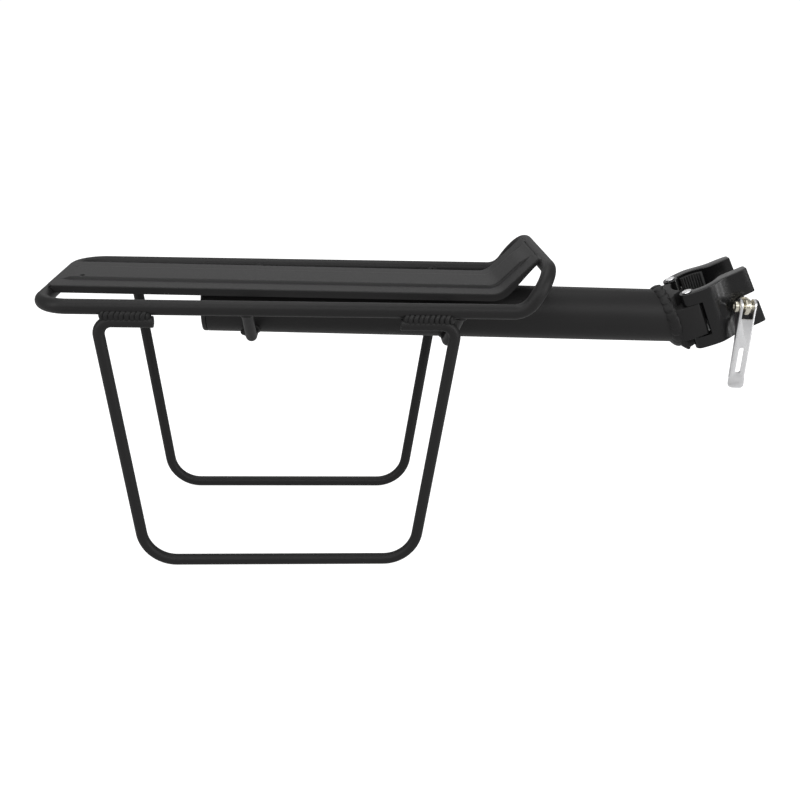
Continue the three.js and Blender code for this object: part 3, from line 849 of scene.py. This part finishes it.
def beam_end_cap():
    flange = BEAM_REAR_X - CAP_GAP - CAP_FLANGE
    start = (flange, 0, beam_z(flange))
    end = (flange + 30, 0, beam_z(flange + 30))
    plug = BEAM_R - BEAM_WALL - CAP_GAP
    profile = [(1.1, 0.01), (1.1, BEAM_R - 5.2), (0.8, BEAM_R - 4.4), (0.2, BEAM_R - 3.8)]
    profile += [(0.0, BEAM_R - 3.2), (0.0, BEAM_R - 1.8), (0.25, BEAM_R - 0.8)]
    profile += [(0.8, BEAM_R - 0.2), (1.5, BEAM_R), (CAP_FLANGE - 0.3, BEAM_R)]
    profile += [(CAP_FLANGE, BEAM_R - 0.3), (CAP_FLANGE, plug)]
    profile += [(CAP_FLANGE + CAP_PLUG - 1, plug), (CAP_FLANGE + CAP_PLUG, plug - 1)]
    profile += [(CAP_FLANGE + CAP_PLUG, 0.01)]
    cap = lathe("beam_cap", profile, 96, start, end)
    place(cap, PLASTIC, "rack", ("beam_end_cap",))


def beam_bead():
    """Weld ring where the beam runs into the leaning face of the block."""
    face = BLOCK_REAR_U - 1.3
    radius = BEAM_R + 0.2
    steps = 120
    points = []
    for i in range(steps):
        turn = 2 * math.pi * i / steps
        y = radius * math.sin(turn)
        rise = radius * math.cos(turn)
        x = (face - (beam_z(BLOCK_REAR_U) + rise) * math.sin(CLAMP_TILT)) / math.cos(CLAMP_TILT)
        points.append((x, y, beam_z(x) + rise))
    centre = Vector((0, 0, beam_z(BLOCK_REAR_U)))

    def outward(point):
        away = Vector((0, point.y, point.z - centre.z)).normalized()
        return away + Vector((-0.6, 0, 0))

    ring = bead("beam_bead", points, BEAM_BEAD, outward, BEAM_BEAD_PITCH, True, BEAM_BEAD_RIPPLE)
    weld(ring, "beam_weld")


def round_about(curve):
    """Outward direction of a closed bead: away from the middle of its line."""
    middle = sum((Vector(p) for p in curve), Vector()) / len(curve)
    return lambda point: point - middle


def strut(name, side, rail_x, beam_x):
    low = beam_z(beam_x) - STRUT_DROP
    top = Vector((rail_x, side * RAIL_Y, RAIL_Z))
    corner = Vector((beam_x, side * STRUT_CORNER_Y, low))
    end = Vector((beam_x, side * 5.0, low))
    stations = bent_route((top, corner, end), (STRUT_CORNER_R,))
    on_rack(rod(name.replace("strut", "strut_rod"), stations, STRUT_R, (1, 0, 0), 36), name)
    at_rail = meeting_curve(
        corner, top - corner, STRUT_R + 0.3, top, (1, 0, 0), RAIL_R + 0.1,
    )
    facing = round_about(at_rail)
    weld(bead(name + "_top_bead", at_rail, STRUT_TOP_BEAD, facing, STRUT_TOP_PITCH, True))
    at_beam = meeting_curve(
        corner, (0, -side, 0), STRUT_R + 0.2,
        (beam_x, 0, beam_z(beam_x)), (1, 0, BEAM_SLOPE), BEAM_R + 0.1,
    )
    facing = round_about(at_beam)
    weld(bead(name + "_foot_bead", at_beam, STRUT_FOOT_BEAD, facing, STRUT_FOOT_PITCH, True))


def strut_lobe(side):
    """End of the weld that shows below the beam, behind a rear strut's foot."""
    x = STRUTS[0][3]
    below = beam_z(x) - BEAM_R
    line = ((x - 8.6, side * 15.5, below + 4.4), (x - 1.5, side * 15.0, below + 1.2))
    down = Vector((-0.4, side * 0.6, -1))
    weld(bead(f"strut_lobe_{side + 1}", line, LOBE_BEAD, lambda point: down, LOBE_PITCH))


def side_frame(name, side):
    y = side * FRAME_Y
    corners = (
        (STUB_REAR_END_X, y, FRAME_TOP_Z),
        (FRAME_TOP_REAR_X, y, FRAME_TOP_Z),
        (FRAME_BOTTOM_REAR_X, y, FRAME_BOTTOM_Z),
        (FRAME_BOTTOM_FRONT_X, y, FRAME_BOTTOM_Z),
        (FRAME_TOP_FRONT_X, y, FRAME_TOP_Z),
        (STUB_FRONT_END_X, y, FRAME_TOP_Z),
    )
    bends = (FRAME_TOP_BEND_R, FRAME_BOTTOM_BEND_R, FRAME_BOTTOM_BEND_R, FRAME_TOP_BEND_R)
    piece = rod(name + "_rod", bent_route(corners, bends), FRAME_ROD_R, (0, 1, 0), 36)
    on_rack(round_edges(piece, 0.4, 2, 60), name)


def stub_bead(name, side, start, end):
    """Bead on the outer side of a stub, filling the crevice below the rail."""
    y = side * (RAIL_Y + 2.6)
    z = 5.9
    line = ((start, y, z), (end, y, z))
    outward = Vector((0, side, -0.12))
    piece = bead(name + "_bead", line, STUB_BEAD, lambda point: outward, ripple=STUB_BEAD_RIPPLE)
    weld(piece, name)


def deck_tack(name, x, z, side, past, size, facing):
    """Short bead along a cross tube, running a little past the plate's edge."""
    y = side * (DECK_Y - 1.0)
    line = ((x, y - side * TACK_LENGTH, z), (x, y + side * past, z))
    weld(bead(f"{name}_{side + 1}", line, size, lambda point: Vector(facing)))


def deck_tacks():
    """Beads between the plate and the tubes it lies on."""
    front = (FRONT_TUBE_X - 3.6, FRONT_TUBE_Z + 2.6)
    rear = (RAIL_REAR_X + 3.4, RAIL_Z + 4.6)
    for side in (-1, 1):
        deck_tack("deck_tack_front", *front, side, 1.5, FRONT_TACK, (-0.6, 0, -0.8))
        deck_tack("deck_tack_rear", *rear, side, 0.5, REAR_TACK, (0.8, 0, -0.6))


def stub_beads():
    for side, word in ((-1, "near"), (1, "far")):
        stub_bead(f"rear_stub_weld_{word}", side, FRAME_TOP_REAR_X + 2, STUB_REAR_END_X - 1)
        stub_bead(f"front_stub_weld_{word}", side, STUB_FRONT_END_X + 1, FRAME_TOP_FRONT_X - 2)


# ---- Clamp ----
def mirrored(points):
    return [(u, -v) for u, v in reversed(points)]


def block_core():
    """Full-height part behind the seatpost, with room for the jaws' barrels."""
    half = CLAMP_HALF_H
    saddle = arc(BORE_R + 0.2, 212, 148, 24)
    side = [(-13.5, 11), (-16, 12), (-19.2, 13.5), (-20, 16), (-22.8, 16.5), (BLOCK_REAR_U, 13.5)]
    core = prism("block", saddle + side + mirrored(side), -half, half)
    rear = BLOCK_REAR_U
    corner = [
        (rear - 1, -half - 1), (rear + BLOCK_CHAMFER, -half - 1), (rear - 1, -half + BLOCK_CHAMFER),
    ]
    carve(core, prism("chamfer", corner, -THROUGH, THROUGH, "xzy"))
    for v in (-PIN_V, PIN_V):
        for end in (-1, 1):
            start = (PIN_U, v, end * (KNUCKLE_HALF_H - 0.1))
            carve(core, bore(KNUCKLE_R + 0.5, start, (PIN_U, v, end * (half + 1)), 48))
    return core


def block_knuckle():
    """Middle part that the hinge pins run through."""
    corner, flank = KNUCKLE_CORNER, KNUCKLE_FLANK_V
    side = [(PIN_U + 1, PIN_V - 5.2), (KNUCKLE_FRONT_U, PIN_V - 2.9)]
    side += arc(corner, 0, 90, 10, KNUCKLE_FRONT_U - corner, flank - corner)
    side += [(-20, flank - 1.2), (BLOCK_REAR_U, 19)]
    outline = [(-14, 8)] + side + mirrored(side) + [(-14, -8)]
    middle = prism("middle", outline, -KNUCKLE_HALF_H, KNUCKLE_HALF_H)
    reach = KNUCKLE_HALF_H + 2
    for v in (-PIN_V, PIN_V):
        carve(middle, bore(PIN_R + GAP, (PIN_U, v, -reach), (PIN_U, v, reach)))
    return middle


def clamp_block():
    block = fuse(block_core(), block_knuckle())
    round_edges(block, 0.7, 3, 35)
    place(block, POWDER, "rack", ("clamp_block",), CLAMP_AXES)


def hinge_pin(name, v):
    """Steel pin, peened over at its top."""
    half = CLAMP_HALF_H
    low = -half - PIN_HEAD_H
    profile = [(0, PIN_R - 0.5), (0.2, PIN_R - 0.1), (0.5, PIN_R)]
    top = half + GAP - low
    profile += [(top, PIN_R), (top + 0.02, PIN_HEAD_R - 0.15), (top + 0.2, PIN_HEAD_R)]
    profile += [(top + 0.45, PIN_HEAD_R - 0.15), (top + 0.72, PIN_HEAD_R - 0.9)]
    profile += [(top + PIN_HEAD_H, PIN_HEAD_R - 1.7), (top + 0.55, 0.7), (top + 0.5, 0.05)]
    pin = lathe(name + "_peened", profile, 40, (PIN_U, v, low), (PIN_U, v, half))
    place(pin, STEEL, "rack", (name,), CLAMP_AXES)


def jaw_outline():
    outer = spline([
        (PIN_U - 2, PIN_V + 5.12), (-6, 25.5), (1, 26.2), (7, 24.7), (13, 22.2),
        (18.5, LUG_OUTER_V + 0.1), (24, LUG_OUTER_V), (29, LUG_OUTER_V - 0.4),
        (LUG_FRONT_U - 1, 19.6),
    ], 96)
    front = [(LUG_FRONT_U, 18.4), (LUG_FRONT_U, LUG_INNER_V + 1), (LUG_FRONT_U - 1, LUG_INNER_V)]
    throat = [(19.5, LUG_INNER_V), (16, 12.7)]
    inner = arc(JAW_INNER_R, 46, 108, 32)
    knuckle = arc(KNUCKLE_R, -35, -235, 40, PIN_U, PIN_V)
    return outer + front + throat + inner + knuckle


def raise_boss(blank):
    """Swells a tall rounded boss out of the jaw's outer face."""
    for vertex in blank.data.vertices:
        u, v, w = vertex.co
        if v > BOSS_FROM_V and abs(w) < 12:
            across = abs(u - BOSS_U) / BOSS_HALF_W
            along = abs(w - BOSS_W) / BOSS_HALF_H
            reach = (across ** 2.4 + along ** 2.8) ** (1 / 2.6)
            lift = max(1 - reach ** 2.4, 0.0) ** 0.8
            vertex.co.y = max(v, v + (BOSS_V - v) * lift)


def slant_lug(blank):
    """Leans the front end of the lug, its foot reaching further forward than its top."""
    for vertex in blank.data.vertices:
        u, _, w = vertex.co
        reach = min(max((u - LUG_LEAN_FROM) / (LUG_FRONT_U - LUG_LEAN_FROM), 0.0), 1.0)
        vertex.co.x = u + reach * (LUG_LEAN_MID - LUG_LEAN * w / CLAMP_HALF_H)


def jaw(name, side):
    """Cast jaw; drawn for the far side and mirrored for the near one."""
    half = CLAMP_HALF_H
    blank = prism(name + "_cast", jaw_outline(), -half, half, rows=86)
    if side < 0:
        raise_boss(blank)
    slant_lug(blank)
    round_edges(blank, JAW_EDGE, 4, 50)
    room = KNUCKLE_HALF_H + 0.5
    opening = round_box(PIN_U - 8, WINDOW_FRONT_U, -room, room, 0.6)
    window = prism("window", opening, 5, THROUGH, "xzy")
    slot = prism("slot", slot_outline(), 0, THROUGH, "xzy")
    pin_hole = bore(PIN_R + GAP, (PIN_U, PIN_V, -half - 1), (PIN_U, PIN_V, half + 1))
    carve(blank, window, slot, pin_hole)
    if side > 0:
        u, v, w = BARREL
        reach = BARREL_LENGTH / 2 + GAP
        carve(blank, bore(BARREL_R + GAP, (u, v, w - reach), (u, v, w + reach), 48))
    round_edges(blank, 0.3, 2, 55)
    axes = CLAMP_AXES if side > 0 else CLAMP_AXES @ MIRROR_Y
    place(blank, GLOSS, name, (name,), axes)


def slot_outline():
    w = BARREL[2]
    start = SLOT_END_U + SLOT_HALF_H
    return arc(SLOT_HALF_H, 90, 270, 20, start, w) + [(60, w - SLOT_HALF_H), (60, w + SLOT_HALF_H)]


def pad(name, side):
    """Rubber liner with ribs along the seatpost."""
    half = CLAMP_HALF_H - 2
    start, end, ribs = 51, 104, 8
    pitch = (end - start) / ribs
    face = []
    for i in range(ribs):
        at = start + i * pitch
        for k, depth in ((0, 0.7), (0.06, 0.15), (0.14, 0.0), (0.42, 0.0), (0.5, 0.15), (0.56, 0.7),
                         (0.62, 1.3), (0.78, 1.45), (0.94, 1.3)):
            turn = math.radians(at + k * pitch)
            face.append(((BORE_R + depth) * math.cos(turn), (BORE_R + depth) * math.sin(turn)))
    liner = prism(name + "_liner", face + arc(PAD_BACK_R, end, start, 24), -half, half)
    round_edges(liner, 0.35, 2, 60)
    axes = CLAMP_AXES if side > 0 else CLAMP_AXES @ MIRROR_Y
    body = "far_jaw" if side > 0 else "near_jaw"
    place(liner, RUBBER, body, (name,), axes, sharp=50)


# ---- Quick release ----
def pivot_barrel():
    half = BARREL_LENGTH / 2
    barrel = lathe("barrel", rounded(0, 2 * half, BARREL_R, 0.5), 48, (0, 0, -half), (0, 0, half))
    carve(barrel, bore(BOLT_R + GAP, (0, -10, 0), (0, 10, 0)))
    place(barrel, STEEL, "bolt_barrel", ("pivot_barrel",), BOLT_AXES)


def eye_bolt():
    """Skewer with a ground eye at the lever end and thread lines at its tip."""
    profile = rounded(0, BOLT_TIP - CAM_Y - 3, BOLT_R, 0.5, 3)
    head, tail = profile[:-4], profile[-4:]
    length = BOLT_TIP - CAM_Y - 3
    threads = []
    for i in range(12):
        at = length - 12.5 + i
        threads += [(at, BOLT_R), (at + 0.5, BOLT_R - 0.35)]
    shank = lathe("eye_bolt_shank", head + threads + tail, 40, (0, CAM_Y + 3, 0), (0, BOLT_TIP, 0))
    half = EYE_T / 2
    eye = lathe("eye", rounded(0, EYE_T, EYE_R, 0.7), 64, (-half, CAM_Y, 0), (half, CAM_Y, 0))
    fuse(shank, eye)
    carve(shank, bore(CAM_PIN_R + GAP, (-EYE_T, CAM_Y, 0), (EYE_T, CAM_Y, 0)))
    round_edges(shank, 0.25, 2, 50)
    place(shank, WARM, "bolt", ("eye_bolt",), LEVER_AXES)


def cam_pin():
    """Cross pin with a dished head."""
    reach = LEVER_HALF_W + GAP
    head = CAM_PIN_HEAD_R
    profile = [(1.0, 0.05), (0.9, 1.5), (0.35, 2.1), (0.0, 2.5)]
    profile += [(0.0, head - 0.5), (0.15, head - 0.15), (0.5, head)]
    profile += [(CAM_PIN_HEAD_T - 0.4, head), (CAM_PIN_HEAD_T, head - 0.4)]
    start = -reach - CAM_PIN_HEAD_T
    profile += [(CAM_PIN_HEAD_T, CAM_PIN_R), (reach - start - 0.02, CAM_PIN_R)]
    end = reach - start
    profile += [(end, CAM_PIN_R + 0.6), (end + 0.3, CAM_PIN_R + 0.8), (end + 0.8, CAM_PIN_R + 0.2)]
    pin = lathe("cam_cross_pin", profile, 48, (start, CAM_Y, 0), (reach, CAM_Y, 0))
    place(pin, WARM, "bolt", ("cam_pin",), LEVER_AXES)


def cam_washer():
    inner = BOLT_R + GAP
    outer = CAM_WASHER_R
    t = CAM_WASHER_T
    profile = [(0.25, inner), (0, inner + 0.25)]
    profile += [(0, outer - 0.4), (0.12, outer - 0.1), (0.4, outer)]
    profile += [(t - 0.4, outer), (t - 0.1, outer - 0.1), (t, outer - 0.4)]
    profile += [(t, inner + 0.25), (t - 0.25, inner)]
    washer = lathe(
        "thrust_washer", profile, 56, (0, CAM_WASHER_Y, 0), (0, CAM_WASHER_Y + t, 0), closed=True,
    )
    place(washer, WARM, "bolt", ("cam_washer",), LEVER_AXES)


def lever_side():
    """Outline of an ear and the flange below it, seen along the pin."""
    face = CAM_Y - EAR_R
    ear = arc(EAR_R, -22, 180, 36, CAM_Y, 0)
    flange = [(face, CREASE_Z), (face + LEVER_T + 0.1, CREASE_Z), (face + LEVER_T + 1.4, -24)]
    return ear + flange + [(face + 3.6, -18), (CAM_Y + 1.5, -11), (CAM_Y + EAR_R * 0.72, -5)]


def channel_outline():
    """Cross-section of the pressed channel."""
    half, t = LEVER_HALF_W, LEVER_T
    face = CAM_Y - EAR_R
    back = CAM_Y + EAR_R + 2
    outer = [(half, back)] + arc(1.5, 0, -90, 6, half - 1.5, face + 1.5)
    outer += arc(1.5, -90, -180, 6, -half + 1.5, face + 1.5) + [(-half, back)]
    inner = [(-half + t, back)] + arc(0.5, 180, 270, 3, -half + t + 0.5, face + t + 0.5)
    inner += arc(0.5, 270, 360, 3, half - t - 0.5, face + t + 0.5) + [(half - t, back)]
    return outer + inner


def lever_tip():
    """Finger tab, bent away from the blade."""
    corner, half = 3.0, LEVER_HALF_W
    low = -TIP_LENGTH
    tab = [(half, 1.2), (-half, 1.2)] + arc(corner, 180, 270, 8, -half + corner, low + corner)
    tab += arc(corner, 270, 360, 8, half - corner, low + corner)
    plate = prism("tip", tab, -LEVER_T, 0, "xzy")
    turn = Matrix.Rotation(-TIP_ANGLE, 4, "X")
    plate.data.transform(Matrix.Translation((0, CAM_Y - EAR_R + LEVER_T, CREASE_Z + 0.4)) @ turn)
    return plate


def quick_release_lever():
    face = CAM_Y - EAR_R
    lever = prism("lever_pressing", channel_outline(), CREASE_Z - 0.5, EAR_R + 1)
    side = prism("side", lever_side(), -20, 20, "yzx")
    combine(lever, side, "INTERSECT")
    between = LEVER_HALF_W - LEVER_T
    opening = round_box(-between, between, WEB_TOP_Z, 30, 0.6)
    mouth = prism("mouth", opening, face - 5, CAM_Y + 20, "xzy")
    half = LEVER_SLOT_HALF_W
    opening = round_box(-half, half, LEVER_SLOT_BOTTOM_Z, LEVER_SLOT_TOP_Z, half - 0.01, 8)
    slot = prism("slot", opening, face - 5, face + 8, "xzy")
    carve(lever, mouth, slot)
    fuse(lever, lever_tip())
    carve(lever, bore(CAM_PIN_R + GAP, (-20, CAM_Y, 0), (20, CAM_Y, 0)))
    round_edges(lever, 0.3, 2, 45)
    place(lever, STEEL, "lever", ("quick_release_lever",), LEVER_AXES)


# ---- Studio ----
def seen_or_lit(tree, lit, seen):
    """One strength for what the camera sees and another for the light that is given."""
    path = tree.nodes.new("ShaderNodeLightPath")
    strength = tree.nodes.new("ShaderNodeMapRange")
    strength.inputs["To Min"].default_value = lit
    strength.inputs["To Max"].default_value = seen
    tree.links.new(path.outputs["Is Camera Ray"], strength.inputs["Value"])
    return strength.outputs["Result"]


def floor():
    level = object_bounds()[0].z - FLOOR_DROP
    corners = [(x * FLOOR_HALF, y * FLOOR_HALF, level) for x, y in ((-1, -1), (1, -1), (1, 1), (-1, 1))]
    mesh = bpy.data.meshes.new("floor")
    mesh.from_pydata(corners, [], [(0, 1, 2, 3)])
    ground = bpy.data.objects.new("floor", mesh)
    bpy.context.scene.collection.objects.link(ground)
    material = new_material("floor_paper", FLOOR_COLOUR, 0.9)
    shader_of(material).inputs["Emission Color"].default_value = (1, 1, 1, 1)
    seen = seen_or_lit(material.node_tree, FLOOR_LIGHT, FLOOR_SEEN)
    material.node_tree.links.new(seen, shader_of(material).inputs["Emission Strength"])
    vary_roughness(material, 0.85, 0.95, 30)
    mesh.materials.append(material)
    ground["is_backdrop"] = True


def soft_light(name, at, target, size, power):
    data = bpy.data.lights.new(name, "AREA")
    data.shape = "RECTANGLE"
    data.size, data.size_y = size
    data.energy = power
    lamp = bpy.data.objects.new(name, data)
    bpy.context.scene.collection.objects.link(lamp)
    lamp.location = at
    lamp.rotation_mode = "QUATERNION"
    lamp.rotation_quaternion = (Vector(target) - Vector(at)).to_track_quat("-Z", "Y")


def studio():
    world = bpy.data.worlds.new("studio")
    bpy.context.scene.world = world
    world.use_nodes = True
    tree = world.node_tree
    background = tree.nodes["Background"]
    background.inputs["Color"].default_value = (1, 1, 1, 1)
    tree.links.new(seen_or_lit(tree, WORLD_LIGHT, WORLD_SEEN), background.inputs["Strength"])
    for light in LIGHTS:
        soft_light(*light)


def camera():
    data = bpy.data.cameras.new("camera")
    data.sensor_width = CAMERA_SENSOR
    data.lens = CAMERA_LENS
    data.clip_start = CAMERA_NEAR
    data.clip_end = CAMERA_FAR
    view = bpy.data.objects.new("camera", data)
    bpy.context.scene.collection.objects.link(view)
    level = math.cos(CAMERA_PITCH)
    forward = Vector((
        math.sin(CAMERA_YAW) * level, math.cos(CAMERA_YAW) * level, -math.sin(CAMERA_PITCH),
    ))
    flat = Vector((math.cos(CAMERA_YAW), -math.sin(CAMERA_YAW), 0))
    upright = flat.cross(forward)
    right = flat * math.cos(CAMERA_ROLL) + upright * math.sin(CAMERA_ROLL)
    up = upright * math.cos(CAMERA_ROLL) - flat * math.sin(CAMERA_ROLL)
    turn = Matrix((right, up, -forward)).transposed().to_4x4()
    view.matrix_world = Matrix.Translation(CAMERA_AT) @ turn
    bpy.context.scene.camera = view


bpy.context.scene.view_settings.view_transform = "Standard"
camera()
rail_loop()
deck_plate()
beam_tube()
beam_end_cap()
beam_bead()
for spec in STRUTS:
    strut(*spec)
for side in (-1, 1):
    strut_lobe(side)
side_frame("side_frame_near", -1)
side_frame("side_frame_far", 1)
stub_beads()
deck_tacks()
clamp_block()
hinge_pin("hinge_pin_near", -PIN_V)
hinge_pin("hinge_pin_far", PIN_V)
jaw("near_jaw", -1)
jaw("far_jaw", 1)
pad("near_pad", -1)
pad("far_pad", 1)
pivot_barrel()
eye_bolt()
cam_pin()
cam_washer()
quick_release_lever()
floor()
studio()
